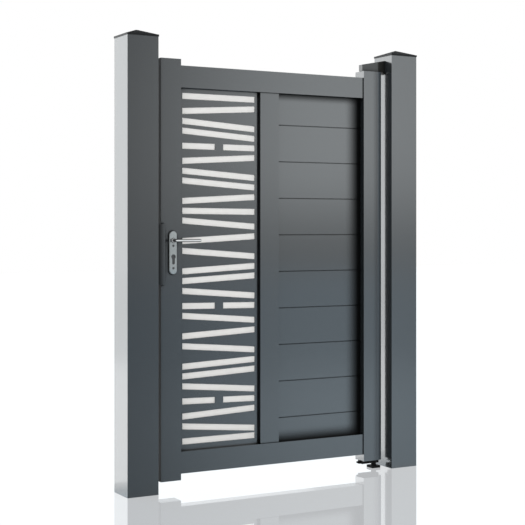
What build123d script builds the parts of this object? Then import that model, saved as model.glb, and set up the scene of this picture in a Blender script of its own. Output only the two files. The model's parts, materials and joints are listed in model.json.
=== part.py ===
"""Pedestrian gate: one swinging leaf of aluminium extrusions between two square posts.

Millimetres. The origin is on the ground at the centre of the hinge post's foot. +X runs along the
gate from the latch post to the hinge post, +Y points to the back of the gate, and +Z is up.
"""

import math
import os

from build123d import *

# Posts
POST_SIZE = 120.0
POST_WALL = 2.5
POST_ABOVE_LEAF = 70.0
CAP_OVERHANG = 1.5
CAP_RIM = 7.0
CAP_RISE = 20.0
CAP_PEAK = 6.0
CAP_WALL = 2.5
CAP_SKIRT = 14.0
FOOT_PLATE = 10.0
FOOT_BOLT_SPACING = 70.0
FOOT_BOLT_HOLE = 14.0

# Leaf
STILE_WIDTH = 80.0
STILE_DEPTH = 60.0
STILE_LENGTH = 1530.0
STILE_OVERRUN = 22.5
HINGE_STILE_WIDTH = 96.0
GROUND_GAP = 37.0
RAIL_HEIGHT = 80.0
RAIL_DEPTH = 50.0
MULLION_WIDTH = 80.0
MULLION_DEPTH = 40.0
DECOR_BAY = 335.5
PLANK_BAY = 381.0
LATCH_GAP = 23.5
HINGE_GAP = 16.0
TUBE_WALL = 2.5
END_CAP = 3.0
PIVOT_CAP = 7.0
PLUG_DEPTH = 20.0
PLUG_WALL = 3.0

# Infill held in the grooves of the frame
INFILL = 12.0
GROOVE_DEPTH = 14.0
GROOVE_WALL = 2.0
INFILL_ENTRY = 12.0

# Planks
PLANK_PITCH = 139.3
TOP_PLANK_SHOWS = 120.0
SHORTEST_PLANK = 40.0
PLANK_WALL = 1.6
REVEAL = 4.0
TONGUE_ENTRY = 8.0
TONGUE_THICKNESS = 4.0

# Slotted decor sheets on both faces of a white panel
SHEET = 3.0
SLOT_HEIGHT = 22.7
SLOT_MARGIN = 16.5
SLOT_BRIDGE = 34.0
TOP_SLOT_BELOW_RAIL = 28.2
BOTTOM_SLOT_ABOVE_RAIL = 32.7
LADDER = {"s": 7, "n": 9, "m": 14, "w": 19}
LEFT_PITCHES = "mnnmmnnwnnwnwnnmnwnwnnmmnm"
RIGHT_PITCHES = "nwnnnwnnmmnwnnwnmnwnnwnnws"
BRIDGED_SLOTS = (5, 17, 24)

# Pivots on the hinge stile
PIN_DIAMETER = 16.0
PIN_ENTRY = 36.0
PIN_BOSS = 26.0
ARM_DEPTH = 24.0
ARM_TIP_HEIGHT = 25.0
ARM_ROOT_HEIGHT = 46.0
ARM_FLANGE = 8.0
ARM_FLANGE_DROP = 8.0
ARM_TIP_INSET = 4.5
FLOOR_PLATE_LENGTH = 38.0
FLOOR_PLATE_WIDTH = 40.0
FLOOR_PLATE = 9.0
FLOOR_BOSS = 20.0
BRACKET = 13.0
BRACKET_DEPTH = 30.0
BRACKET_INSET = 2.0
BRACKET_PAST_PIVOT = 14.0
ADJUSTER_DIAMETER = 8.0
ADJUSTER_LENGTH = 15.0
ADJUSTER_HEAD = 15.0
ADJUSTER_HEAD_LENGTH = 7.0

# Lock furniture
LEVER_HEIGHT = 908.0
LOCK_OFFSET = 5.0
LOCK_PLATE_WIDTH = 30.0
LOCK_PLATE_LENGTH = 158.0
LOCK_PLATE_ABOVE = 35.0
LOCK_PLATE = 9.0
LOCK_PLATE_EDGE = 2.0
CYLINDER_BELOW = 59.0
CYLINDER_DIAMETER = 17.0
CYLINDER_WEB = 10.0
CYLINDER_DROP = 36.0
CYLINDER_PROUD = 6.0
LEVER_NECK = 18.0
LEVER_STAND = 38.0
LEVER_GRIP = 13.0
LEVER_THICKNESS = 9.0
LEVER_REACH = 95.0
LEVER_TIP_RADIUS = 4.0
LEVER_EDGE = 2.0
SPINDLE = 8.0
SPINDLE_ENTRY = 20.0
FOREND_LENGTH = 200.0
FOREND_WIDTH = 24.0
FOREND = 2.5

# Keeper on the latch post
KEEPER_LOW = 748.0
KEEPER_LENGTH = 220.0
KEEPER_PLATE = 5.0
KEEPER_BACK = 20.0
LIP_THICKNESS = 3.0
LIP_OVERLAP = 14.0
LIP_CLEARANCE = 3.0

# Clearances
SLIDE_CLEARANCE = 0.2
RUNNING_CLEARANCE = 0.05
THRUST_GAP = 0.3
ARM_CLEARANCE = 2.5
HOLE_CLEARANCE = 1.0

# Places worked out from the sizes above
HINGE_POST_FACE = -POST_SIZE / 2
HINGE_STILE_RIGHT = HINGE_POST_FACE - HINGE_GAP
HINGE_STILE_LEFT = HINGE_STILE_RIGHT - HINGE_STILE_WIDTH
MULLION_RIGHT = HINGE_STILE_LEFT - PLANK_BAY
MULLION_LEFT = MULLION_RIGHT - MULLION_WIDTH
LATCH_STILE_RIGHT = MULLION_LEFT - DECOR_BAY
LATCH_STILE_LEFT = LATCH_STILE_RIGHT - STILE_WIDTH
LATCH_POST_FACE = LATCH_STILE_LEFT - LATCH_GAP
LATCH_POST_X = LATCH_POST_FACE - POST_SIZE / 2
STILE_LOW = GROUND_GAP
STILE_HIGH = GROUND_GAP + STILE_LENGTH
HINGE_LOW = STILE_LOW + END_CAP - PIVOT_CAP
HINGE_HIGH = STILE_HIGH - END_CAP + PIVOT_CAP
POST_HEIGHT = STILE_HIGH + POST_ABOVE_LEAF
BOTTOM_RAIL_LOW = STILE_LOW + STILE_OVERRUN
BAY_LOW = BOTTOM_RAIL_LOW + RAIL_HEIGHT
TOP_RAIL_HIGH = STILE_HIGH - STILE_OVERRUN
BAY_HIGH = TOP_RAIL_HIGH - RAIL_HEIGHT
GROOVE_WIDTH = INFILL + 2 * SLIDE_CLEARANCE
PIVOT_X = HINGE_STILE_RIGHT - STILE_DEPTH / 2
LOCK_X = (LATCH_STILE_LEFT + LATCH_STILE_RIGHT) / 2 + LOCK_OFFSET
PLATE_FACE = STILE_DEPTH / 2 + LOCK_PLATE
CYLINDER_HEIGHT = LEVER_HEIGHT - CYLINDER_BELOW
SHEET_LENGTH = BAY_HIGH - BAY_LOW + 2 * INFILL_ENTRY
SHEET_WIDTH = DECOR_BAY + 2 * INFILL_ENTRY
DECOR_MIDDLE = (LATCH_STILE_RIGHT + MULLION_LEFT) / 2
BAY_MIDDLE = (BAY_LOW + BAY_HIGH) / 2
OPAL = INFILL - 2 * SHEET
LADDER_LENGTH = BAY_HIGH - BAY_LOW - TOP_SLOT_BELOW_RAIL - BOTTOM_SLOT_ABOVE_RAIL


def save(piece, node):
    """Label a finished piece and write it under its node's name."""
    piece.part.label = node
    export_step(piece.part, f"parts/{node}.step")


def box_between(low, high, mode=Mode.ADD):
    """Box from its lowest corner to its highest corner."""
    size = [top - bottom for bottom, top in zip(low, high)]
    middle = tuple((top + bottom) / 2 for bottom, top in zip(low, high))
    with Locations(middle):
        Box(*size, mode=mode)


def nosed_rectangle(width, depth, mode=Mode.ADD):
    """Rectangle whose +X end is a half round."""
    with Locations((-depth / 4, 0)):
        Rectangle(width - depth / 2, depth, mode=mode)
    with Locations(((width - depth) / 2, 0)):
        Circle(depth / 2, mode=mode)


def grooved_tube(width, depth, sides, outline=Rectangle):
    """Hollow section, width along the sketch's X, with an infill groove in each named side."""
    outline(width, depth)
    outline(width - 2 * TUBE_WALL, depth - 2 * TUBE_WALL, mode=Mode.SUBTRACT)
    for side in sides:
        channel = GROOVE_DEPTH + GROOVE_WALL
        with Locations((side * (width - channel) / 2, 0)):
            Rectangle(channel, GROOVE_WIDTH + 2 * GROOVE_WALL)
        with Locations((side * (width - GROOVE_DEPTH) / 2, 0)):
            Rectangle(GROOVE_DEPTH, GROOVE_WIDTH, mode=Mode.SUBTRACT)


def euro_profile(gap):
    """Outline of a profile cylinder, round at the top with a rounded web below, grown by gap."""
    radius = CYLINDER_DIAMETER / 2 + gap
    web = CYLINDER_WEB + 2 * gap
    web_end = CYLINDER_DROP - CYLINDER_DIAMETER / 2 - CYLINDER_WEB / 2
    Circle(radius)
    with Locations((0, -web_end / 2)):
        Rectangle(web, web_end)
    with Locations((0, -web_end)):
        Circle(web / 2)


def make_post(name, x):
    """Square tube, its pyramid cap and the anchor plate inside its foot."""
    inside = POST_SIZE - 2 * POST_WALL - 2 * SLIDE_CLEARANCE

    with BuildPart() as tube:
        with BuildSketch(Plane.XY.move(Location((x, 0, 0)))):
            Rectangle(POST_SIZE, POST_SIZE)
            Rectangle(POST_SIZE - 2 * POST_WALL, POST_SIZE - 2 * POST_WALL, mode=Mode.SUBTRACT)
        extrude(amount=POST_HEIGHT)
    save(tube, name)

    with BuildPart() as cap:
        eave = POST_SIZE + 2 * CAP_OVERHANG
        rim_top = POST_HEIGHT + CAP_RIM
        with BuildSketch(Plane.XY.move(Location((x, 0, POST_HEIGHT)))):
            Rectangle(eave, eave)
        extrude(amount=CAP_RIM)
        slope = math.degrees(math.atan2((POST_SIZE - CAP_PEAK) / 2, CAP_RISE))
        with BuildSketch(Plane.XY.move(Location((x, 0, rim_top)))):
            Rectangle(POST_SIZE, POST_SIZE)
        extrude(amount=CAP_RISE, taper=slope)
        with BuildSketch(Plane.XY.move(Location((x, 0, POST_HEIGHT - CAP_SKIRT)))):
            Rectangle(inside, inside)
            Rectangle(inside - 2 * CAP_WALL, inside - 2 * CAP_WALL, mode=Mode.SUBTRACT)
        extrude(amount=CAP_SKIRT)
    save(cap, f"{name}_cap")

    with BuildPart() as foot:
        with BuildSketch(Plane.XY.move(Location((x, 0, 0)))):
            Rectangle(inside, inside)
            with GridLocations(FOOT_BOLT_SPACING, FOOT_BOLT_SPACING, 2, 2):
                Circle(FOOT_BOLT_HOLE / 2, mode=Mode.SUBTRACT)
        extrude(amount=FOOT_PLATE)
    save(foot, f"{name}_foot")


def make_stile(name, left, width, groove_side, outline):
    """Upright of the leaf between its end caps, with its groove only from rail to rail."""
    middle = left + width / 2
    foot = STILE_LOW + END_CAP
    head = STILE_HIGH - END_CAP
    mouth = left if groove_side < 0 else left + width - GROOVE_DEPTH
    with BuildPart() as stile:
        with BuildSketch(Plane.XY.move(Location((middle, 0, foot)))):
            grooved_tube(width, STILE_DEPTH, [groove_side], outline)
        extrude(amount=head - foot)
        for low, high in ((foot, BOTTOM_RAIL_LOW), (TOP_RAIL_HIGH, head)):
            box_between(
                (mouth, -GROOVE_WIDTH / 2, low),
                (mouth + GROOVE_DEPTH, GROOVE_WIDTH / 2, high),
            )
        if name == "latch_stile":
            with BuildSketch(Plane.XZ):
                with Locations((LOCK_X, LEVER_HEIGHT)):
                    Circle(LEVER_NECK / 2 + HOLE_CLEARANCE)
                with Locations((LOCK_X, CYLINDER_HEIGHT)):
                    euro_profile(HOLE_CLEARANCE)
            extrude(amount=STILE_DEPTH, both=True, mode=Mode.SUBTRACT)
            box_between(
                (left - TUBE_WALL, -FOREND_WIDTH / 2, CYLINDER_HEIGHT - FOREND_LENGTH / 2),
                (left + TUBE_WALL, FOREND_WIDTH / 2, CYLINDER_HEIGHT + FOREND_LENGTH / 2),
                mode=Mode.SUBTRACT,
            )
    save(stile, name)


def make_stile_cap(name, left, width, groove_side, outward, outline):
    """End cap with a plug inside the tube, thicker and bored where it carries a pivot.

    Outward is +1 on top and -1 below.
    """
    middle = left + width / 2
    seat = STILE_HIGH - END_CAP if outward > 0 else STILE_LOW + END_CAP
    carries_pivot = outline is nosed_rectangle
    thickness = PIVOT_CAP if carries_pivot else END_CAP
    cavity_width = width - TUBE_WALL - GROOVE_DEPTH - GROOVE_WALL
    plug_width = cavity_width - 2 * SLIDE_CLEARANCE
    plug_depth = STILE_DEPTH - 2 * TUBE_WALL - 2 * SLIDE_CLEARANCE
    plug_middle = middle - groove_side * (width / 2 - TUBE_WALL - cavity_width / 2)
    with BuildPart() as cap:
        with BuildSketch(Plane.XY.move(Location((middle, 0, seat)))):
            outline(width, STILE_DEPTH)
        extrude(amount=outward * thickness)
        with BuildSketch(Plane.XY.move(Location((plug_middle, 0, seat)))):
            outline(plug_width, plug_depth)
            outline(plug_width - 2 * PLUG_WALL, plug_depth - 2 * PLUG_WALL, mode=Mode.SUBTRACT)
        extrude(amount=-outward * PLUG_DEPTH)
        if carries_pivot:
            with BuildSketch(Plane.XY.move(Location((PIVOT_X, 0, seat)))):
                Circle(PIN_BOSS / 2)
            extrude(amount=-outward * PIN_ENTRY)
            with BuildSketch(Plane.XY.move(Location((PIVOT_X, 0, seat + outward * thickness)))):
                Circle(PIN_DIAMETER / 2 + RUNNING_CLEARANCE)
            extrude(amount=-outward * (thickness + PIN_ENTRY), mode=Mode.SUBTRACT)
    save(cap, name)


def make_rail(name, low, groove_side):
    """Cross rail between the stiles, with its groove towards the bays."""
    with BuildPart() as rail:
        across = Plane(origin=(LATCH_STILE_RIGHT, 0, low + RAIL_HEIGHT / 2), x_dir=(0, 0, 1), z_dir=(1, 0, 0))
        with BuildSketch(across):
            grooved_tube(RAIL_HEIGHT, RAIL_DEPTH, [groove_side])
        extrude(amount=HINGE_STILE_LEFT - LATCH_STILE_RIGHT)
    save(rail, name)


def make_plank(name, low, high, groove_below, tongue_above):
    """Hollow board held at both ends; the tongue of one enters the groove of the next above."""
    body_low = low + REVEAL / 2 if groove_below else low
    body_high = high - REVEAL / 2 if tongue_above else high
    height = body_high - body_low
    socket_width = TONGUE_THICKNESS + 2 * SLIDE_CLEARANCE
    socket_depth = TONGUE_ENTRY + SLIDE_CLEARANCE
    shelf = socket_depth + PLANK_WALL if groove_below else PLANK_WALL
    with BuildPart() as plank:
        across = Plane(
            origin=(MULLION_RIGHT - INFILL_ENTRY, 0, body_low), x_dir=(0, 1, 0), z_dir=(1, 0, 0)
        )
        with BuildSketch(across):
            with Locations((0, height / 2)):
                Rectangle(INFILL, height)
            hollow = height - shelf - PLANK_WALL
            with Locations((0, shelf + hollow / 2)):
                Rectangle(INFILL - 2 * PLANK_WALL, hollow, mode=Mode.SUBTRACT)
            if groove_below:
                with Locations((0, socket_depth / 2)):
                    Rectangle(socket_width, socket_depth, mode=Mode.SUBTRACT)
            if tongue_above:
                tongue = REVEAL + TONGUE_ENTRY
                with Locations((0, height + tongue / 2)):
                    Rectangle(TONGUE_THICKNESS, tongue)
        extrude(amount=PLANK_BAY + 2 * INFILL_ENTRY)
    save(plank, name)


def slot_heights(pitches):
    """Heights of the slots at one side, stepping down the ladder from the top slot."""
    height = BAY_HIGH - TOP_SLOT_BELOW_RAIL
    heights = [height]
    step = LADDER_LENGTH / sum(LADDER[pitch] for pitch in pitches)
    for pitch in pitches:
        height -= LADDER[pitch] * step
        heights.append(height)
    return heights


def make_decor_sheet(name, face):
    """Sheet with slanting slots; both slot ends are cut upright, on two shared lines."""
    left = LATCH_STILE_RIGHT + SLOT_MARGIN
    right = MULLION_LEFT - SLOT_MARGIN
    slots = zip(slot_heights(LEFT_PITCHES), slot_heights(RIGHT_PITCHES))
    half = SLOT_HEIGHT / 2
    with BuildPart() as sheet:
        with BuildSketch(Plane.XZ.offset(-face)):
            with Locations((DECOR_MIDDLE, BAY_MIDDLE)):
                Rectangle(SHEET_WIDTH, SHEET_LENGTH)
            for number, (z_left, z_right) in enumerate(slots, start=1):
                with BuildLine():
                    Polyline(
                        (left, z_left - half),
                        (right, z_right - half),
                        (right, z_right + half),
                        (left, z_left + half),
                        close=True,
                    )
                make_face(mode=Mode.SUBTRACT)
                if number in BRIDGED_SLOTS:
                    with Locations((DECOR_MIDDLE, (z_left + z_right) / 2)):
                        Rectangle(SLOT_BRIDGE, 2 * SLOT_HEIGHT)
        extrude(amount=-SHEET)
    save(sheet, name)


def make_lock_plate(name, side):
    """Long plate with round ends on one face of the latch stile; side is -1 in front, +1 behind."""
    straight = LOCK_PLATE_LENGTH - LOCK_PLATE_WIDTH
    middle = LEVER_HEIGHT + LOCK_PLATE_ABOVE - LOCK_PLATE_LENGTH / 2
    with BuildPart() as plate:
        with BuildSketch(Plane.XZ.offset(-side * STILE_DEPTH / 2)):
            with Locations((LOCK_X, middle)):
                SlotCenterToCenter(straight, LOCK_PLATE_WIDTH, rotation=90)
        extrude(amount=-side * LOCK_PLATE)
        outer = plate.faces().sort_by(Axis.Y)[-1 if side > 0 else 0]
        chamfer(outer.edges(), LOCK_PLATE_EDGE)
        with BuildSketch(Plane.XZ):
            with Locations((LOCK_X, LEVER_HEIGHT)):
                Circle(LEVER_NECK / 2 + RUNNING_CLEARANCE)
            with Locations((LOCK_X, CYLINDER_HEIGHT)):
                euro_profile(SLIDE_CLEARANCE)
        extrude(amount=PLATE_FACE, both=True, mode=Mode.SUBTRACT)
    save(plate, name)


def make_lever(name, side):
    """Round neck out of the lock plate and a flat grip towards the hinge side."""
    stand = PLATE_FACE + LEVER_STAND
    grip_inner = stand - LEVER_THICKNESS
    seat = STILE_DEPTH / 2
    with BuildPart() as lever:
        with BuildSketch(Plane.XZ.offset(-side * seat)):
            with Locations((LOCK_X, LEVER_HEIGHT)):
                Circle(LEVER_NECK / 2)
        extrude(amount=-side * (stand - seat))
        with BuildSketch(Plane.XZ.offset(-side * grip_inner)):
            with Locations((LOCK_X + LEVER_REACH / 2, LEVER_HEIGHT)):
                Rectangle(LEVER_REACH, LEVER_GRIP)
        extrude(amount=-side * LEVER_THICKNESS)
        tip = lever.edges().filter_by(Axis.Y).sort_by(Axis.X)[-2:]
        fillet(tip, LEVER_TIP_RADIUS)
        grip_sides = lever.faces().filter_by(Axis.Y).sort_by(Axis.Y)
        outer = grip_sides[-1 if side > 0 else 0]
        chamfer(outer.edges(), LEVER_EDGE)
        with BuildSketch(Plane.XZ.offset(-side * seat)):
            with Locations((LOCK_X, LEVER_HEIGHT)):
                Rectangle(SPINDLE + 2 * SLIDE_CLEARANCE, SPINDLE + 2 * SLIDE_CLEARANCE)
        extrude(amount=-side * SPINDLE_ENTRY, mode=Mode.SUBTRACT)
    save(lever, name)


os.makedirs("parts", exist_ok=True)

# Posts with their caps and feet
make_post("hinge_post", 0)
make_post("latch_post", LATCH_POST_X)

# Frame of the leaf
make_stile("latch_stile", LATCH_STILE_LEFT, STILE_WIDTH, 1, Rectangle)
make_stile("hinge_stile", HINGE_STILE_LEFT, HINGE_STILE_WIDTH, -1, nosed_rectangle)
make_stile_cap("latch_stile_top_cap", LATCH_STILE_LEFT, STILE_WIDTH, 1, 1, Rectangle)
make_stile_cap("latch_stile_bottom_cap", LATCH_STILE_LEFT, STILE_WIDTH, 1, -1, Rectangle)
make_stile_cap("hinge_stile_top_cap", HINGE_STILE_LEFT, HINGE_STILE_WIDTH, -1, 1, nosed_rectangle)
make_stile_cap("hinge_stile_bottom_cap", HINGE_STILE_LEFT, HINGE_STILE_WIDTH, -1, -1, nosed_rectangle)
make_rail("top_rail", BAY_HIGH, -1)
make_rail("bottom_rail", BOTTOM_RAIL_LOW, 1)

with BuildPart() as mullion:
    with BuildSketch(Plane.XY.move(Location(((MULLION_LEFT + MULLION_RIGHT) / 2, 0, BAY_LOW)))):
        grooved_tube(MULLION_WIDTH, MULLION_DEPTH, [-1, 1])
    extrude(amount=BAY_HIGH - BAY_LOW)
save(mullion, "mullion")

# Planks from the top down, the last one cut to the height that is left
edges = [BAY_HIGH + INFILL_ENTRY]
joint = BAY_HIGH - TOP_PLANK_SHOWS
while joint > BAY_LOW + SHORTEST_PLANK:
    edges.append(joint)
    joint -= PLANK_PITCH
edges.append(BAY_LOW - INFILL_ENTRY)
for number in range(1, len(edges)):
    make_plank(
        f"plank_{number:02d}",
        edges[number],
        edges[number - 1],
        groove_below=number < len(edges) - 1,
        tongue_above=number > 1,
    )

# Slotted sheets on both faces of the white panel
make_decor_sheet("decor_sheet_front", -INFILL / 2)
make_decor_sheet("decor_sheet_back", INFILL / 2 - SHEET)

with BuildPart() as opal_panel:
    with BuildSketch(Plane.XZ.offset(-OPAL / 2)):
        with Locations((DECOR_MIDDLE, BAY_MIDDLE)):
            Rectangle(SHEET_WIDTH, SHEET_LENGTH)
    extrude(amount=OPAL)
save(opal_panel, "opal_panel")

# Tapered arm over the hinge stile and the pin that it holds
arm_low = HINGE_HIGH + ARM_CLEARANCE
arm_tip_x = HINGE_STILE_LEFT + ARM_TIP_INSET
flange_x = HINGE_POST_FACE - ARM_FLANGE
with BuildPart() as top_hinge_arm:
    with BuildSketch(Plane.XZ.offset(-ARM_DEPTH / 2)):
        with BuildLine():
            Polyline(
                (HINGE_POST_FACE, arm_low - ARM_FLANGE_DROP),
                (HINGE_POST_FACE, arm_low + ARM_ROOT_HEIGHT),
                (arm_tip_x, arm_low + ARM_TIP_HEIGHT),
                (arm_tip_x, arm_low),
                (flange_x, arm_low),
                (flange_x, arm_low - ARM_FLANGE_DROP),
                close=True,
            )
        make_face()
    extrude(amount=ARM_DEPTH)
    with BuildSketch(Plane.XY.move(Location((PIVOT_X, 0, arm_low)))):
        Circle(PIN_DIAMETER / 2 + RUNNING_CLEARANCE)
    extrude(amount=ARM_TIP_HEIGHT / 2, mode=Mode.SUBTRACT)
save(top_hinge_arm, "top_hinge_arm")

with BuildPart() as top_pivot_pin:
    with BuildSketch(Plane.XY.move(Location((PIVOT_X, 0, STILE_HIGH - END_CAP - PIN_ENTRY)))):
        Circle(PIN_DIAMETER / 2)
    extrude(amount=PIN_ENTRY + PIVOT_CAP + ARM_CLEARANCE + ARM_TIP_HEIGHT / 2)
save(top_pivot_pin, "top_pivot_pin")

# Bracket under the hinge stile, which turns on the pin of the floor pivot
bracket_low = HINGE_LOW - BRACKET
with BuildPart() as foot_bracket:
    box_between(
        (HINGE_STILE_LEFT + BRACKET_INSET, -BRACKET_DEPTH / 2, bracket_low),
        (PIVOT_X + BRACKET_PAST_PIVOT, BRACKET_DEPTH / 2, HINGE_LOW),
    )
    with BuildSketch(Plane.XY.move(Location((PIVOT_X, 0, bracket_low)))):
        Circle(PIN_DIAMETER / 2 + RUNNING_CLEARANCE)
    extrude(amount=BRACKET, mode=Mode.SUBTRACT)
    adjuster_height = bracket_low + BRACKET / 2
    bracket_left = HINGE_STILE_LEFT + BRACKET_INSET
    bracket_end = Plane(origin=(bracket_left, 0, adjuster_height), x_dir=(0, 1, 0), z_dir=(1, 0, 0))
    with BuildSketch(bracket_end):
        Circle(ADJUSTER_DIAMETER / 2)
    extrude(amount=-ADJUSTER_LENGTH)
    with BuildSketch(bracket_end):
        RegularPolygon(ADJUSTER_HEAD / 2, 6)
    extrude(amount=-ADJUSTER_HEAD_LENGTH)
save(foot_bracket, "foot_bracket")

boss_top = bracket_low - THRUST_GAP
with BuildPart() as floor_pivot:
    box_between(
        (PIVOT_X - FLOOR_PLATE_LENGTH / 2, -FLOOR_PLATE_WIDTH / 2, 0),
        (PIVOT_X + FLOOR_PLATE_LENGTH / 2, FLOOR_PLATE_WIDTH / 2, FLOOR_PLATE),
    )
    with BuildSketch(Plane.XY.move(Location((PIVOT_X, 0, FLOOR_PLATE)))):
        Circle(FLOOR_BOSS / 2)
    extrude(amount=boss_top - FLOOR_PLATE)
    with BuildSketch(Plane.XY.move(Location((PIVOT_X, 0, boss_top)))):
        Circle(PIN_DIAMETER / 2)
    extrude(amount=STILE_LOW + PIN_ENTRY - boss_top)
save(floor_pivot, "floor_pivot")

# Lock furniture on both faces of the latch stile
make_lock_plate("lock_plate_front", -1)
make_lock_plate("lock_plate_back", 1)
make_lever("lever_front", -1)
make_lever("lever_back", 1)

spindle_half = STILE_DEPTH / 2 + SPINDLE_ENTRY - SLIDE_CLEARANCE
with BuildPart() as spindle:
    box_between(
        (LOCK_X - SPINDLE / 2, -spindle_half, LEVER_HEIGHT - SPINDLE / 2),
        (LOCK_X + SPINDLE / 2, spindle_half, LEVER_HEIGHT + SPINDLE / 2),
    )
save(spindle, "spindle")

with BuildPart() as lock_cylinder:
    with BuildSketch(Plane.XZ):
        with Locations((LOCK_X, CYLINDER_HEIGHT)):
            euro_profile(0)
    extrude(amount=STILE_DEPTH / 2 + CYLINDER_PROUD, both=True)
save(lock_cylinder, "lock_cylinder")

with BuildPart() as lock_forend:
    box_between(
        (
            LATCH_STILE_LEFT,
            -FOREND_WIDTH / 2 + SLIDE_CLEARANCE,
            CYLINDER_HEIGHT - FOREND_LENGTH / 2 + SLIDE_CLEARANCE,
        ),
        (
            LATCH_STILE_LEFT + FOREND,
            FOREND_WIDTH / 2 - SLIDE_CLEARANCE,
            CYLINDER_HEIGHT + FOREND_LENGTH / 2 - SLIDE_CLEARANCE,
        ),
    )
save(lock_forend, "lock_forend")

# Keeper on the latch post: a plate on the post's inner face and a lip in front of the stile
lip_back = -STILE_DEPTH / 2 - LIP_CLEARANCE
lip_front = lip_back - LIP_THICKNESS
with BuildPart() as keeper:
    box_between(
        (LATCH_POST_FACE, lip_front, KEEPER_LOW),
        (LATCH_POST_FACE + KEEPER_PLATE, KEEPER_BACK, KEEPER_LOW + KEEPER_LENGTH),
    )
    box_between(
        (LATCH_POST_FACE, lip_front, KEEPER_LOW),
        (LATCH_STILE_LEFT + LIP_OVERLAP, lip_back, KEEPER_LOW + KEEPER_LENGTH),
    )
save(keeper, "keeper")
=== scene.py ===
"""Looks of the pedestrian gate: finishes, lock furniture, fasteners, floor, light and camera."""

import json
import math

import bmesh
import bpy
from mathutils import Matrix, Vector


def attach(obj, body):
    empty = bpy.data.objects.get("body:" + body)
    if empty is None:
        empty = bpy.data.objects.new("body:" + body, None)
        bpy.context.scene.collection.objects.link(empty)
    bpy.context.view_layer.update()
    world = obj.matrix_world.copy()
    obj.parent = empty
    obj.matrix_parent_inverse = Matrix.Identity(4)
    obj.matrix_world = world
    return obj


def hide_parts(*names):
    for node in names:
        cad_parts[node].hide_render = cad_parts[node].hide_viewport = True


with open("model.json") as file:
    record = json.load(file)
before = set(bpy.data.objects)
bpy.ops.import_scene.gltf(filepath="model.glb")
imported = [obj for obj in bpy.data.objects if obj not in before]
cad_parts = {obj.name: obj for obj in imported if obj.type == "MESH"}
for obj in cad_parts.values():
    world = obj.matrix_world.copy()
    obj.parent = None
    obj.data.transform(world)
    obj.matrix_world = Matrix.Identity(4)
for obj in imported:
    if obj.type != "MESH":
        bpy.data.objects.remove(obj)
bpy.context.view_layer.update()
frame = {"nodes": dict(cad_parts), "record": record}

SCENE = bpy.context.scene
NODES = frame["nodes"]

# Camera of the photograph, fitted to its edges: the picture in pixels, places in metres, the turn in degrees
PICTURE = 525
FOCAL_PIXELS = 1265.8
OPTICAL_CENTRE = (258.46, 226.22)
CAMERA_PLACE = (-2.9592, -4.1826, 0.9595)
CAMERA_YAW = 29.109
CAMERA_RANGE = 100
SENSOR = 36.0

# Edges of the board field and the pivot, in metres
HINGE_STILE_LEFT = -0.172
PIVOT_X = -0.106
TOP_RAIL_LOW = 1.4645
BOTTOM_RAIL_HIGH = 0.1395

# Lock furniture as in the part, in metres
LOCK_X = -1.0035
LATCH_STILE_LEFT = -1.0485
PLATE_FACE = 0.039
UPPER_SCREW = 0.889
LOWER_SCREW = 0.808
CYLINDER_HEIGHT = 0.849
CYLINDER_FACE = 0.036
KEEPER_FACE = -1.067
KEEPER_MIDDLE = 0.858
KEEPER_SCREW_Y = 0.004
EDGE_SCREW_RISE = 0.085

# Lever, in metres, with its steps and turns in degrees
LEVER_HEIGHT = 0.908
LEVER_COLLAR = 0.015
LEVER_COLLAR_ROOT = 0.002
LEVER_COLLAR_EDGE = 0.0015
LEVER_COLLAR_TOP = 0.0025
LEVER_NECK = 0.0105
LEVER_STAND = 0.038
LEVER_GRIP = 0.0105
LEVER_THICKNESS = 0.009
LEVER_REACH = 0.095
LEVER_HEEL = 0.0105
LEVER_HEEL_TAPER = 0.009
LEVER_DOME = 0.003
LEVER_SIDES = 36
HEEL_STEPS = 8
HEEL_FIRST_TURN = 2
TIP_STEPS = 6
TIP_LAST_TURN = 88
TIP_LEAST = 0.05
TIP_BLUNTNESS = 0.6

# Radius and height of the turned heads, and the unit of each recess, in metres
SMALL_SCREW = (0.0042, 0.0008)
SMALL_SCREW_UNIT = 0.0008
KEEPER_SCREW = (0.005, 0.0009)
KEEPER_SCREW_UNIT = 0.0009
KEY_BARREL = (0.0066, 0.0009)
KEY_BARREL_UNIT = 0.00052
HEAD_ROOT = 0.0004

# Turned heads: their edge and recess as shares of the height, and the top as a share of the radius
HEAD_EDGE = 0.5
HEAD_TOP = 0.88
RECESS_FLOOR = 0.2

# Shade and light painted on the paint by place and in corners, and shade painted on the lever by facing:
# reaches in metres, levels where 1 changes nothing
STILE_SHADE_START = 0.078
STILE_SHADE_END = 0.012
STILE_SHADE = 0.02
TOP_SHADE_REACH = 0.032
TOP_SHADE = 0.15
BOTTOM_SHADE_REACH = 0.050
BOTTOM_SHADE = 0.07
NOSE_SHADE_START = 0.029
NOSE_SHADE_END = 0.006
NOSE_SHADE = 0.45
NOSE_PAINTED_LIGHT_REACH = 0.006
NOSE_PAINTED_LIGHT = 3.2
KEEPER_LIP = (-1.062, -1.030)
KEEPER_SHADE = 0.12
LEAF_CORNER_SHADE = (0.3, 0.65)
UPRIGHT_CORNER_SHADE = (0.5, 0.9)
LEVER_EDGE_TURN = (0.84, 0.95)

# Light levels, where 1 is white
EVEN_LIGHT = 1.6
CEILING = 0.12
FRONT_LEFT = 0.24
FRONT_LOW = 0.41
FRONT_HIGH = 1.08
FRONT_FADED = 0.75
FAR_RIGHT = 0.40
OVERHEAD = 0.04
FLOOR_MIRROR = 0.56
FLOOR_MIRROR_FAR = 0.40
FLOOR_MIRROR_NEAR = 0.66
FLOOR_MIRROR_BACK = 0.85
SIDE_PANEL = 1.08
FLOOR_PANEL = 0.55

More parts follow.
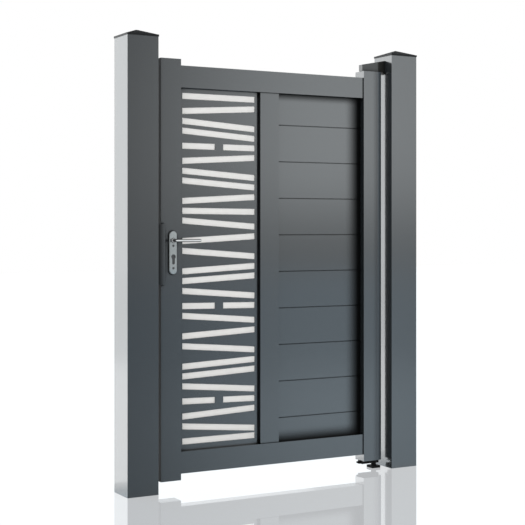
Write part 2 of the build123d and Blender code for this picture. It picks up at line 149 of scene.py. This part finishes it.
# Where the sky changes, as ranges of a direction's X, Y or Z
SKY_RIGHT_X = (0.36, 0.54)
SKY_FAR_RIGHT_X = (0.52, 0.82)
SKY_BEHIND_Y = (-0.3, 0.25)
SKY_STRAIGHT_ON_Y = (0.45, 0.75)
SKY_GROUND_Z = (-0.08, -0.05)
SKY_HORIZON_Z = (-0.025, 0.045)
SKY_FADE_Z = (0.09, 0.26)
SKY_OVERHEAD_Z = (0.28, 0.5)
SKY_CEILING_Z = (0.2, 0.8)

# Floor, in metres
FLOOR_HALF = 20.0
FLOOR_FRONT_Y = (-5.0, -0.8)
FLOOR_BACK_Y = (-0.2, 0.2)
FLOOR_PANEL_LIFT = 0.002

# Colours of the stage
WHITE = (1.0, 1.0, 1.0, 1)
FLOOR_MATT = (0.18, 0.25, 0.32, 1)
FLOOR_TINT = (0.88, 1.0, 1.09, 1)
SKY_TINT = (0.94, 0.995, 1.02, 1)

# Places of a mix node's sockets
MIX_FACTOR = 0
MIX_LEVELS = (2, 3)
MIX_COLOURS = (6, 7)
MIX_LEVEL_OUT = 0
MIX_COLOUR_OUT = 2


def node_tree(material):
    """Empty node tree of a material."""
    material.use_nodes = True
    tree = material.node_tree
    tree.nodes.clear()
    return tree


def add(tree, kind, **values):
    """Adds a node; a key that is a socket's name sets its default, any other an attribute."""
    node = tree.nodes.new(kind)
    for key, value in values.items():
        if key in node.inputs:
            node.inputs[key].default_value = value
        else:
            setattr(node, key, value)
    return node


def surface(name):
    """New material with a Principled shader on its output."""
    material = bpy.data.materials.new(name)
    tree = node_tree(material)
    shader = add(tree, "ShaderNodeBsdfPrincipled")
    output = add(tree, "ShaderNodeOutputMaterial")
    tree.links.new(shader.outputs["BSDF"], output.inputs["Surface"])
    return material, tree, shader


def set_sockets(shader, values):
    """Sets plain values on the shader's own sockets."""
    for socket, value in values.items():
        shader.inputs[socket].default_value = value


def split(tree, vector):
    """X, Y and Z of a vector output."""
    axes = add(tree, "ShaderNodeSeparateXYZ")
    tree.links.new(vector, axes.inputs["Vector"])
    return axes.outputs


def combined(tree, operation, first, second):
    """Output of one operation on two outputs."""
    node = add(tree, "ShaderNodeMath", operation=operation)
    tree.links.new(first, node.inputs[0])
    tree.links.new(second, node.inputs[1])
    return node.outputs["Value"]


def smooth_range(tree, value, source, target):
    """Output that goes smoothly from one target level to the other over a source range."""
    ramp = add(tree, "ShaderNodeMapRange", interpolation_type="SMOOTHSTEP")
    ramp.inputs["From Min"].default_value, ramp.inputs["From Max"].default_value = source
    ramp.inputs["To Min"].default_value, ramp.inputs["To Max"].default_value = target
    tree.links.new(value, ramp.inputs["Value"])
    return ramp.outputs["Result"]


def crevice_shade(tree, reach, source, target):
    """Level of painted shade that falls towards inner corners within a reach."""
    open_sky = add(tree, "ShaderNodeAmbientOcclusion", Distance=reach, samples=12)
    return smooth_range(tree, open_sky.outputs["AO"], source, target)


def scale_colour(tree, shader, level):
    """Multiplies the shader's colour by a level."""
    colour = shader.inputs["Base Color"].links[0].from_socket
    product = add(tree, "ShaderNodeMix", data_type="RGBA", blend_type="MULTIPLY")
    product.inputs[MIX_FACTOR].default_value = 1.0
    tree.links.new(colour, product.inputs[MIX_COLOURS[0]])
    tree.links.new(level, product.inputs[MIX_COLOURS[1]])
    tree.links.new(product.outputs[MIX_COLOUR_OUT], shader.inputs["Base Color"])


def speckled_colour(tree, shader, low, high, scale):
    """Colour that drifts between two close tones over the surface."""
    place = add(tree, "ShaderNodeTexCoord")
    noise = add(tree, "ShaderNodeTexNoise", Scale=scale, Detail=4.0)
    ramp = add(tree, "ShaderNodeValToRGB")
    ramp.color_ramp.elements[0].position = 0.3
    ramp.color_ramp.elements[0].color = (*low, 1)
    ramp.color_ramp.elements[1].position = 0.7
    ramp.color_ramp.elements[1].color = (*high, 1)
    tree.links.new(place.outputs["Object"], noise.inputs["Vector"])
    tree.links.new(noise.outputs["Fac"], ramp.inputs["Fac"])
    tree.links.new(ramp.outputs["Color"], shader.inputs["Base Color"])
    return place


def fine_bump(tree, shader, place, scale, strength, distance, stretch=(1, 1, 1)):
    """Bump from fine noise, stretched along an axis where stretch is small."""
    mapping = add(tree, "ShaderNodeMapping")
    mapping.inputs["Scale"].default_value = stretch
    noise = add(tree, "ShaderNodeTexNoise", Scale=scale, Detail=3.0)
    bump = add(tree, "ShaderNodeBump", Strength=strength, Distance=distance)
    tree.links.new(place.outputs["Object"], mapping.inputs["Vector"])
    tree.links.new(mapping.outputs["Vector"], noise.inputs["Vector"])
    tree.links.new(noise.outputs["Fac"], bump.inputs["Height"])
    tree.links.new(bump.outputs["Normal"], shader.inputs["Normal"])


def anthracite_paint(name):
    """Anthracite powder coat with a clear glossy skin, and where a point of it lies on the part."""
    material, tree, shader = surface(name)
    place = speckled_colour(tree, shader, low=(0.020, 0.025, 0.029), high=(0.023, 0.028, 0.032), scale=900)
    set_sockets(shader, {
        "Roughness": 0.5,
        "Specular IOR Level": 0.25,
        "Coat Weight": 1.0,
        "Coat Roughness": 0.14,
        "Coat IOR": 2.5,
    })
    fine_bump(tree, shader, place, scale=900, strength=0.02, distance=0.00002)
    return material, tree, shader, split(tree, place.outputs["Object"])


def corner_shade_paint(name, corners):
    """Anthracite paint with painted shade in its inner corners: less coat and a darker colour there."""
    material, tree, shader, axes = anthracite_paint(name)
    # Painted shade: the coat and the colour fall towards inner corners.
    corner_shade = crevice_shade(tree, reach=0.045, source=corners, target=(0.03, 1.0))
    tree.links.new(corner_shade, shader.inputs["Coat Weight"])
    scale_colour(tree, shader, crevice_shade(tree, reach=0.05, source=(0.45, 0.9), target=(0.02, 1.0)))
    return material, tree, shader, axes


def shade_paint(tree, shader, level):
    """Multiplies both the coat and the colour of a corner-shaded paint by a level of painted shade."""
    corner_shade = shader.inputs["Coat Weight"].links[0].from_socket
    tree.links.new(combined(tree, "MULTIPLY", corner_shade, level), shader.inputs["Coat Weight"])
    scale_colour(tree, shader, level)


def post_paint():
    """Coat of the posts."""
    return anthracite_paint("post_paint")[0]


def leaf_paint():
    """Coat of the leaf, with painted shade in its inner corners."""
    return corner_shade_paint("leaf_paint", LEAF_CORNER_SHADE)[0]


def upright_paint():
    """Coat of the latch stile and mullion, with painted shade reaching farther out of their corners."""
    return corner_shade_paint("upright_paint", UPRIGHT_CORNER_SHADE)[0]


def plank_paint():
    """Coat of the leaf on the planks, with painted shade towards the rails and the deep hinge stile and in
    inner corners.
    """
    material, tree, shader, axes = corner_shade_paint("plank_paint", LEAF_CORNER_SHADE)
    # Painted shade by place: darker towards the hinge stile, the top rail and the bottom rail.
    stile_range = (HINGE_STILE_LEFT - STILE_SHADE_START, HINGE_STILE_LEFT - STILE_SHADE_END)
    top_range = (TOP_RAIL_LOW - TOP_SHADE_REACH, TOP_RAIL_LOW)
    bottom_range = (BOTTOM_RAIL_HIGH, BOTTOM_RAIL_HIGH + BOTTOM_SHADE_REACH)
    by_stile = smooth_range(tree, axes["X"], stile_range, (1.0, STILE_SHADE))
    by_top = smooth_range(tree, axes["Z"], top_range, (1.0, TOP_SHADE))
    by_bottom = smooth_range(tree, axes["Z"], bottom_range, (BOTTOM_SHADE, 1.0))
    by_rails = combined(tree, "MULTIPLY", by_top, by_bottom)
    shade_paint(tree, shader, combined(tree, "MULTIPLY", by_stile, by_rails))
    set_sockets(shader, {"Coat Roughness": 0.10})
    return material


def keeper_paint():
    """Coat of the leaf on the keeper, with painted shade on its lip towards the post and in inner corners.
    """
    material, tree, shader, axes = corner_shade_paint("keeper_paint", LEAF_CORNER_SHADE)
    # Painted shade by place across the keeper's lip.
    shade_paint(tree, shader, smooth_range(tree, axes["X"], KEEPER_LIP, (KEEPER_SHADE, 1.0)))
    return material


def stile_paint():
    """Coat of the posts on the hinge stile, with painted shade (less coat) and a painted lighter colour
    towards its round nose.
    """
    material, tree, shader, axes = anthracite_paint("stile_paint")
    shade_range = (PIVOT_X - NOSE_SHADE_START, PIVOT_X + NOSE_SHADE_END)
    painted_light_range = (PIVOT_X - NOSE_PAINTED_LIGHT_REACH, PIVOT_X + NOSE_PAINTED_LIGHT_REACH)
    # Painted shade: the coat falls towards the nose.
    by_nose = smooth_range(tree, axes["X"], shade_range, (1.0, NOSE_SHADE))
    tree.links.new(by_nose, shader.inputs["Coat Weight"])
    # Painted light: the colour is lifted at the nose.
    scale_colour(tree, shader, smooth_range(tree, axes["X"], painted_light_range, (1.0, NOSE_PAINTED_LIGHT)))
    return material


def black_paint():
    """Satin black paint of the hinge arm, with painted shade (less coat, darker colour) in its inner
    corners.
    """
    material, tree, shader = surface("black_paint")
    place = speckled_colour(tree, shader, low=(0.014, 0.014, 0.011), high=(0.018, 0.018, 0.014), scale=600)
    set_sockets(shader, {"Roughness": 0.4, "Coat Roughness": 0.12, "Coat IOR": 1.7})
    fine_bump(tree, shader, place, scale=1200, strength=0.03, distance=0.00005)
    # Painted shade: coat and colour fall in inner corners.
    corner_shade = crevice_shade(tree, reach=0.026, source=(0.4, 0.95), target=(0.1, 1.0))
    tree.links.new(corner_shade, shader.inputs["Coat Weight"])
    scale_colour(tree, shader, corner_shade)
    return material


def dull_black():
    """Dull black paint of the pivot and bracket at the ground."""
    material, tree, shader = surface("dull_black")
    place = speckled_colour(tree, shader, low=(0.008, 0.008, 0.008), high=(0.012, 0.012, 0.012), scale=600)
    set_sockets(shader, {"Roughness": 0.6, "Specular IOR Level": 0.2})
    fine_bump(tree, shader, place, scale=1200, strength=0.05, distance=0.00005)
    return material


def cap_plastic():
    """Black plastic of the post caps."""
    material, tree, shader = surface("cap_plastic")
    place = speckled_colour(tree, shader, low=(0.010, 0.011, 0.012), high=(0.014, 0.015, 0.016), scale=700)
    set_sockets(shader, {"Roughness": 0.45})
    fine_bump(tree, shader, place, scale=1500, strength=0.05, distance=0.00005)
    return material


def satin_metal():
    """Satin stainless steel of the lock plates, brushed upright, with painted shade in its inner corners."""
    material, tree, shader = surface("satin_metal")
    place = speckled_colour(tree, shader, low=(0.86, 0.90, 0.90), high=(0.92, 0.96, 0.96), scale=500)
    set_sockets(shader, {"Metallic": 0.85, "Roughness": 0.05})
    fine_bump(tree, shader, place, scale=900, strength=0.08, distance=0.0001, stretch=(1, 1, 0.05))
    # Painted shade: the colour darkens in inner corners.
    scale_colour(tree, shader, crevice_shade(tree, reach=0.012, source=(0.45, 0.9), target=(0.08, 1.0)))
    return material


def bright_metal():
    """Lighter satin steel of the levers, brushed along the grip, with painted shade where it turns up or
    down.
    """
    material, tree, shader = surface("bright_metal")
    place = speckled_colour(tree, shader, low=(0.90, 0.92, 0.92), high=(0.94, 0.96, 0.96), scale=500)
    set_sockets(shader, {"Roughness": 0.25})
    # Painted shade: faces that turn up or down get a darker colour and less shine.
    facing = add(tree, "ShaderNodeMath", operation="ABSOLUTE")
    tree.links.new(split(tree, place.outputs["Normal"])["Y"], facing.inputs[0])
    turned = facing.outputs["Value"]
    for socket, levels in (("Metallic", (0.0, 0.2)), ("Specular IOR Level", (0.1, 0.5))):
        tree.links.new(smooth_range(tree, turned, LEVER_EDGE_TURN, levels), shader.inputs[socket])
    scale_colour(tree, shader, smooth_range(tree, turned, LEVER_EDGE_TURN, (0.05, 1.0)))
    fine_bump(tree, shader, place, scale=900, strength=0.06, distance=0.0001, stretch=(0.05, 1, 1))
    return material


def dark_steel():
    """Darker turned steel of the lock cylinder, the screws and the pin."""
    material, tree, shader = surface("dark_steel")
    place = speckled_colour(tree, shader, low=(0.17, 0.17, 0.17), high=(0.22, 0.22, 0.22), scale=500)
    set_sockets(shader, {"Metallic": 0.8, "Roughness": 0.35})
    fine_bump(tree, shader, place, scale=1100, strength=0.06, distance=0.0001)
    return material


def opal_white():
    """White opal sheet."""
    material, tree, shader = surface("opal_white")
    speckled_colour(tree, shader, low=(0.88, 0.865, 0.835), high=(0.92, 0.905, 0.875), scale=40)
    set_sockets(shader, {"Roughness": 0.35})
    return material


def bare_aluminium():
    """Mill-finish aluminium of the anchor plates."""
    material, tree, shader = surface("bare_aluminium")
    place = speckled_colour(tree, shader, low=(0.55, 0.55, 0.56), high=(0.66, 0.66, 0.67), scale=120)
    set_sockets(shader, {"Metallic": 1.0, "Roughness": 0.42})
    fine_bump(tree, shader, place, scale=700, strength=0.1, distance=0.0002, stretch=(0.05, 1, 1))
    return material


MATERIALS = {
    "post_paint": post_paint(),
    "leaf_paint": leaf_paint(),
    "black_paint": black_paint(),
    "cap_plastic": cap_plastic(),
    "satin_metal": satin_metal(),
    "dark_steel": dark_steel(),
    "opal_white": opal_white(),
    "bare_aluminium": bare_aluminium(),
}
BRIGHT_METAL = bright_metal()
DULL_BLACK = dull_black()
UPRIGHT_PAINT = upright_paint()

# Finishes, and copies of a paint with painted shade or light, that differ from the slot's material, by the
# start of a node's name
OWN_FINISH_AND_SHADE = {
    "plank": plank_paint(),
    "keeper": keeper_paint(),
    "hinge_stile": stile_paint(),
    "floor_pivot": DULL_BLACK,
    "foot_bracket": DULL_BLACK,
    "latch_stile": UPRIGHT_PAINT,
    "mullion": UPRIGHT_PAINT,
}


def dress_nodes():
    """Gives every CAD node its own finish or painted-shade copy of a paint, or else the material of its slot
    in the record.
    """
    for part in frame["record"]["subparts"]:
        node = NODES[part["node"]]
        node.data.materials.clear()
        own = [finish for stem, finish in OWN_FINISH_AND_SHADE.items() if part["node"].startswith(stem)]
        node.data.materials.append(own[0] if own else MATERIALS[part["material_slot"]])


def finish_piece(name, shape, material, body, crease):
    """Turns a built shape into an object that rides on a body."""
    bmesh.ops.recalc_face_normals(shape, faces=shape.faces)
    mesh = bpy.data.meshes.new(name)
    shape.to_mesh(mesh)
    shape.free()
    for polygon in mesh.polygons:
        polygon.use_smooth = True
    mesh.set_sharp_from_angle(angle=math.radians(crease))
    mesh.materials.append(material)
    piece = bpy.data.objects.new(name, mesh)
    SCENE.collection.objects.link(piece)
    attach(piece, body)
    return piece


def walls(shape, rings):
    """Quads between rings of equally many points; returns the rings' corners."""
    rows = [[shape.verts.new(point) for point in ring] for ring in rings]
    count = len(rows[0])
    for near, far in zip(rows, rows[1:]):
        for i in range(count):
            shape.faces.new((near[i], near[(i + 1) % count], far[(i + 1) % count], far[i]))
    return rows


def skin(shape, rings):
    """Walls between rings, closed at both ends."""
    rows = walls(shape, rings)
    shape.faces.new(rows[0])
    shape.faces.new(rows[-1])


def lever_bar():
    """Places along the lever's bar from heel to tip, each with its share of the full section."""
    bar = []
    for i in range(HEEL_STEPS + 1):
        turn = math.radians(HEEL_FIRST_TURN + (90 - HEEL_FIRST_TURN) * i / HEEL_STEPS)
        bar.append((LEVER_HEEL_TAPER * (1 - math.cos(turn)) - LEVER_HEEL, math.sin(turn)))
    for i in range(TIP_STEPS + 1):
        turn = math.radians(TIP_LAST_TURN * i / TIP_STEPS)
        share = max(TIP_LEAST, math.cos(turn)) ** TIP_BLUNTNESS
        bar.append((LEVER_REACH - LEVER_DOME * (1 - math.sin(turn)), share))
    return bar


def make_lever(name, node, side):
    """Round neck under a slim bar with a tapered heel and a domed tip; side is -1 in front, +1 behind."""
    turns = [2 * math.pi * k / LEVER_SIDES for k in range(LEVER_SIDES)]
    bar_middle = PLATE_FACE + LEVER_STAND - LEVER_THICKNESS / 2
    neck = [
        (LEVER_COLLAR, PLATE_FACE - LEVER_COLLAR_ROOT),
        (LEVER_COLLAR, PLATE_FACE + LEVER_COLLAR_EDGE),
        (LEVER_NECK, PLATE_FACE + LEVER_COLLAR_TOP),
        (LEVER_NECK, bar_middle),
    ]
    shape = bmesh.new()
    rings = []
    for width, along in neck:
        r = width / 2
        row = [(LOCK_X + r * math.cos(t), LEVER_HEIGHT + r * math.sin(t)) for t in turns]
        rings.append([(across, side * along, height) for across, height in row])
    skin(shape, rings)
    rings = []
    for across, share in lever_bar():
        p = share * LEVER_THICKNESS / 2
        q = share * LEVER_GRIP / 2
        row = [(bar_middle + p * math.cos(t), LEVER_HEIGHT + q * math.sin(t)) for t in turns]
        rings.append([(LOCK_X + across, side * along, height) for along, height in row])
    skin(shape, rings)
    piece = finish_piece(name, shape, BRIGHT_METAL, "lever", crease=50)
    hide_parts(node)


# Outlines of the recesses, in units of each head
CROSS = [
    (1, 3), (-1, 3), (-1, 1), (-3, 1), (-3, -1), (-1, -1),
    (-1, -3), (1, -3), (1, -1), (3, -1), (3, 1), (1, 1),
]
KEYWAY = [(1, 9), (-1, 9), (-1, 3), (-2, 1), (-1, -2), (-1, -9), (1, -9), (1, -4), (0.2, -1), (1, 2)]


def make_recessed_disc(name, place, axis, size, outline, unit, body):
    """Low turned head with a recess of the given outline; size is its radius and height."""
    radius, height = size
    out = Vector(axis)
    up = Vector((0, 0, 1))
    aside = up.cross(out)
    spot = Vector(place)
    count = 4 * len(outline)
    turns = [2 * math.pi * (k + 0.5) / count for k in range(count)]

    def at(a, b, c):
        return spot + aside * a + up * b + out * c

    def ring(r, c):
        return [at(r * math.cos(t), r * math.sin(t), c) for t in turns]

    def recess(c):
        return [at(a * unit, b * unit, c) for a, b in outline]

    shape = bmesh.new()
    sides = [ring(radius, -HEAD_ROOT), ring(radius, HEAD_EDGE * height), ring(HEAD_TOP * radius, height)]
    root, _, top = walls(shape, sides)
    mouth, floor = walls(shape, [recess(height), recess(RECESS_FLOOR * height)])
    shape.faces.new(floor)
    shape.faces.new(root)
    rims = [e for e in shape.edges if all(v in top for v in e.verts) or all(v in mouth for v in e.verts)]
    bmesh.ops.bridge_loops(shape, edges=rims)
    finish_piece(name, shape, MATERIALS["dark_steel"], body, crease=25)


def make_lock_details():
    """Levers, screws and key barrels on both faces of the latch stile, and the screws at its edge."""
    for side, face in ((-1, "front"), (1, "back")):
        axis = (0, side, 0)
        make_lever(f"{face}_lever_grip", f"lever_{face}", side)
        for row, height in (("upper", UPPER_SCREW), ("lower", LOWER_SCREW)):
            spot = (LOCK_X, side * PLATE_FACE, height)
            name = f"{face}_{row}_plate_screw"
            make_recessed_disc(name, spot, axis, SMALL_SCREW, CROSS, SMALL_SCREW_UNIT, "leaf")
        spot = (LOCK_X, side * CYLINDER_FACE, CYLINDER_HEIGHT)
        make_recessed_disc(f"{face}_key_barrel", spot, axis, KEY_BARREL, KEYWAY, KEY_BARREL_UNIT, "leaf")
    for row, rise in (("upper", EDGE_SCREW_RISE), ("lower", -EDGE_SCREW_RISE)):
        spot = (LATCH_STILE_LEFT, 0.0, CYLINDER_HEIGHT + rise)
        axis = (-1, 0, 0)
        make_recessed_disc(f"{row}_forend_screw", spot, axis, SMALL_SCREW, CROSS, SMALL_SCREW_UNIT, "leaf")
        spot = (KEEPER_FACE, KEEPER_SCREW_Y, KEEPER_MIDDLE + rise)
        axis = (1, 0, 0)
        name = f"{row}_keeper_screw"
        make_recessed_disc(name, spot, axis, KEEPER_SCREW, CROSS, KEEPER_SCREW_UNIT, "posts")


def floor_mirror(tree, seen, along):
    """Mirror shader of the floor and its share, both with values of their own where the camera looks."""
    polish_front = smooth_range(tree, along, FLOOR_FRONT_Y, (FLOOR_MIRROR_FAR, FLOOR_MIRROR_NEAR))
    polish_back = smooth_range(tree, along, FLOOR_BACK_Y, (0.0, FLOOR_MIRROR_BACK))
    polish = combined(tree, "MAXIMUM", polish_front, polish_back)
    share = add(tree, "ShaderNodeMix", data_type="FLOAT")
    share.inputs[MIX_LEVELS[1]].default_value = FLOOR_MIRROR
    tree.links.new(seen, share.inputs[MIX_FACTOR])
    tree.links.new(polish, share.inputs[MIX_LEVELS[0]])
    tint = add(tree, "ShaderNodeMix", data_type="RGBA")
    tint.inputs[MIX_COLOURS[0]].default_value = FLOOR_TINT
    tint.inputs[MIX_COLOURS[1]].default_value = WHITE
    at_back = smooth_range(tree, along, FLOOR_BACK_Y, (0.0, 1.0))
    tree.links.new(combined(tree, "MAXIMUM", seen, at_back), tint.inputs[MIX_FACTOR])
    mirror = add(tree, "ShaderNodeBsdfGlossy", Roughness=0.0)
    tree.links.new(tint.outputs[MIX_COLOUR_OUT], mirror.inputs["Color"])
    return mirror.outputs["BSDF"], share.outputs[MIX_LEVEL_OUT]


def floor_white():
    """White of the floor: it glows to the camera and in diffuse light, under a soft mirror image."""
    material = bpy.data.materials.new("floor_white")
    tree = node_tree(material)
    path = add(tree, "ShaderNodeLightPath")
    geometry = add(tree, "ShaderNodeNewGeometry")
    seen = path.outputs["Is Camera Ray"]
    mirror, share = floor_mirror(tree, seen, split(tree, geometry.outputs["Position"])["Y"])
    lifted = add(tree, "ShaderNodeMath", operation="MULTIPLY")
    lifted.inputs[1].default_value = EVEN_LIGHT
    tree.links.new(path.outputs["Is Diffuse Ray"], lifted.inputs[0])
    glow = add(tree, "ShaderNodeEmission")
    tree.links.new(combined(tree, "MAXIMUM", seen, lifted.outputs["Value"]), glow.inputs["Strength"])
    matt = add(tree, "ShaderNodeBsdfDiffuse", Color=FLOOR_MATT)
    both = add(tree, "ShaderNodeAddShader")
    tree.links.new(glow.outputs["Emission"], both.inputs[0])
    tree.links.new(matt.outputs["BSDF"], both.inputs[1])
    mixed = add(tree, "ShaderNodeMixShader")
    tree.links.new(share, mixed.inputs["Fac"])
    tree.links.new(both.outputs["Shader"], mixed.inputs[1])
    tree.links.new(mirror, mixed.inputs[2])
    output = add(tree, "ShaderNodeOutputMaterial")
    tree.links.new(mixed.outputs["Shader"], output.inputs["Surface"])
    return material


def make_floor():
    """White floor with a soft mirror image of the object."""
    mesh = bpy.data.meshes.new("floor")
    half = FLOOR_HALF
    corners = [(-half, -half, 0), (half, -half, 0), (half, half, 0), (-half, half, 0)]
    mesh.from_pydata(corners, [], [(0, 1, 2, 3)])
    mesh.materials.append(floor_white())
    floor = bpy.data.objects.new("floor", mesh)
    SCENE.collection.objects.link(floor)
    floor.visible_shadow = False


def sky_in_reflections(tree, axes):
    """Level of the sky in reflections: dim in front at left, bright behind, dark overhead."""
    to_right = smooth_range(tree, axes["X"], SKY_RIGHT_X, (0.0, 1.0))
    low = smooth_range(tree, axes["X"], SKY_RIGHT_X, (FRONT_LEFT, FRONT_LOW))
    raised = smooth_range(tree, axes["Z"], SKY_HORIZON_Z, (0.0, FRONT_HIGH - FRONT_LOW))
    faded = smooth_range(tree, axes["Z"], SKY_FADE_Z, (1.0, FRONT_FADED))
    in_front = combined(tree, "ADD", low, combined(tree, "MULTIPLY", to_right, raised))
    in_front = combined(tree, "MULTIPLY", in_front, faded)
    behind = smooth_range(tree, axes["Y"], SKY_BEHIND_Y, (0.0, 1.0))
    far_right = smooth_range(tree, axes["X"], SKY_FAR_RIGHT_X, (1.0, FAR_RIGHT))
    straight_on = smooth_range(tree, axes["Y"], SKY_STRAIGHT_ON_Y, (0.0, 1.0))
    far_right = combined(tree, "MAXIMUM", far_right, straight_on)
    around = combined(tree, "MULTIPLY", far_right, combined(tree, "MAXIMUM", in_front, behind))
    overhead = smooth_range(tree, axes["Z"], SKY_OVERHEAD_Z, (1.0, OVERHEAD))
    return combined(tree, "MULTIPLY", overhead, around)


def make_world():
    """Even studio light, with its own levels in reflections and a white background behind the object."""
    world = bpy.data.worlds.new("studio")
    SCENE.world = world
    tree = node_tree(world)
    path = add(tree, "ShaderNodeLightPath")
    place = add(tree, "ShaderNodeTexCoord")
    axes = split(tree, place.outputs["Generated"])
    above = smooth_range(tree, axes["Z"], SKY_GROUND_Z, (0.0, 1.0))
    ceiling = smooth_range(tree, axes["Z"], SKY_CEILING_Z, (1.0, CEILING))
    reflected = sky_in_reflections(tree, axes)
    diffuse = add(tree, "ShaderNodeBackground", Color=(EVEN_LIGHT, EVEN_LIGHT, EVEN_LIGHT, 1))
    gloss = add(tree, "ShaderNodeBackground", Color=SKY_TINT)
    white = add(tree, "ShaderNodeBackground", Color=WHITE)
    tree.links.new(combined(tree, "MULTIPLY", ceiling, above), diffuse.inputs["Strength"])
    tree.links.new(combined(tree, "MULTIPLY", reflected, above), gloss.inputs["Strength"])
    lit = add(tree, "ShaderNodeMixShader")
    seen = add(tree, "ShaderNodeMixShader")
    output = add(tree, "ShaderNodeOutputWorld")
    tree.links.new(path.outputs["Is Glossy Ray"], lit.inputs["Fac"])
    tree.links.new(diffuse.outputs["Background"], lit.inputs[1])
    tree.links.new(gloss.outputs["Background"], lit.inputs[2])
    tree.links.new(path.outputs["Is Camera Ray"], seen.inputs["Fac"])
    tree.links.new(lit.outputs["Shader"], seen.inputs[1])
    tree.links.new(white.outputs["Background"], seen.inputs[2])
    tree.links.new(seen.outputs["Shader"], output.inputs["Surface"])


def make_panel(name, place, target, size, radiance):
    """Rectangular soft lamp that faces a point and shows only in its light and reflections."""
    lamp = bpy.data.lights.new(name, "AREA")
    lamp.shape = "RECTANGLE"
    lamp.size, lamp.size_y = size
    lamp.energy = math.pi * radiance * size[0] * size[1]
    panel = bpy.data.objects.new(name, lamp)
    panel.location = place
    aim = Vector(target) - Vector(place)
    panel.rotation_euler = aim.to_track_quat("-Z", "Y").to_euler()
    panel.visible_camera = False
    SCENE.collection.objects.link(panel)


def make_floor_panel(name, x, y, size):
    """Soft lamp just over the floor that faces up."""
    make_panel(name, (x, y, FLOOR_PANEL_LIFT), (x, y, 1.0), size, FLOOR_PANEL)


def make_camera():
    """Level camera at the photograph's place, with the frame shifted as in the photograph."""
    data = bpy.data.cameras.new("camera")
    data.sensor_width = SENSOR
    data.lens = SENSOR * FOCAL_PIXELS / PICTURE
    data.shift_x = (PICTURE / 2 - OPTICAL_CENTRE[0]) / PICTURE
    data.shift_y = (OPTICAL_CENTRE[1] - PICTURE / 2) / PICTURE
    data.clip_end = CAMERA_RANGE
    camera = bpy.data.objects.new("camera", data)
    camera.location = CAMERA_PLACE
    camera.rotation_euler = (math.radians(90), 0, -math.radians(CAMERA_YAW))
    SCENE.collection.objects.link(camera)
    SCENE.camera = camera


dress_nodes()
make_lock_details()
make_floor()
make_world()
make_panel(
    "side_panel", place=(-3.0, 4.2, 1.6), target=(-0.6, 0.0, 1.6), size=(3.6, 3.2), radiance=SIDE_PANEL,
)
make_floor_panel("side_floor_panel", x=-2.9, y=1.9, size=(3.0, 4.4))
make_floor_panel("near_floor_panel", x=-0.82, y=1.2, size=(1.15, 2.0))
make_camera()

SCENE.view_settings.view_transform = "Standard"
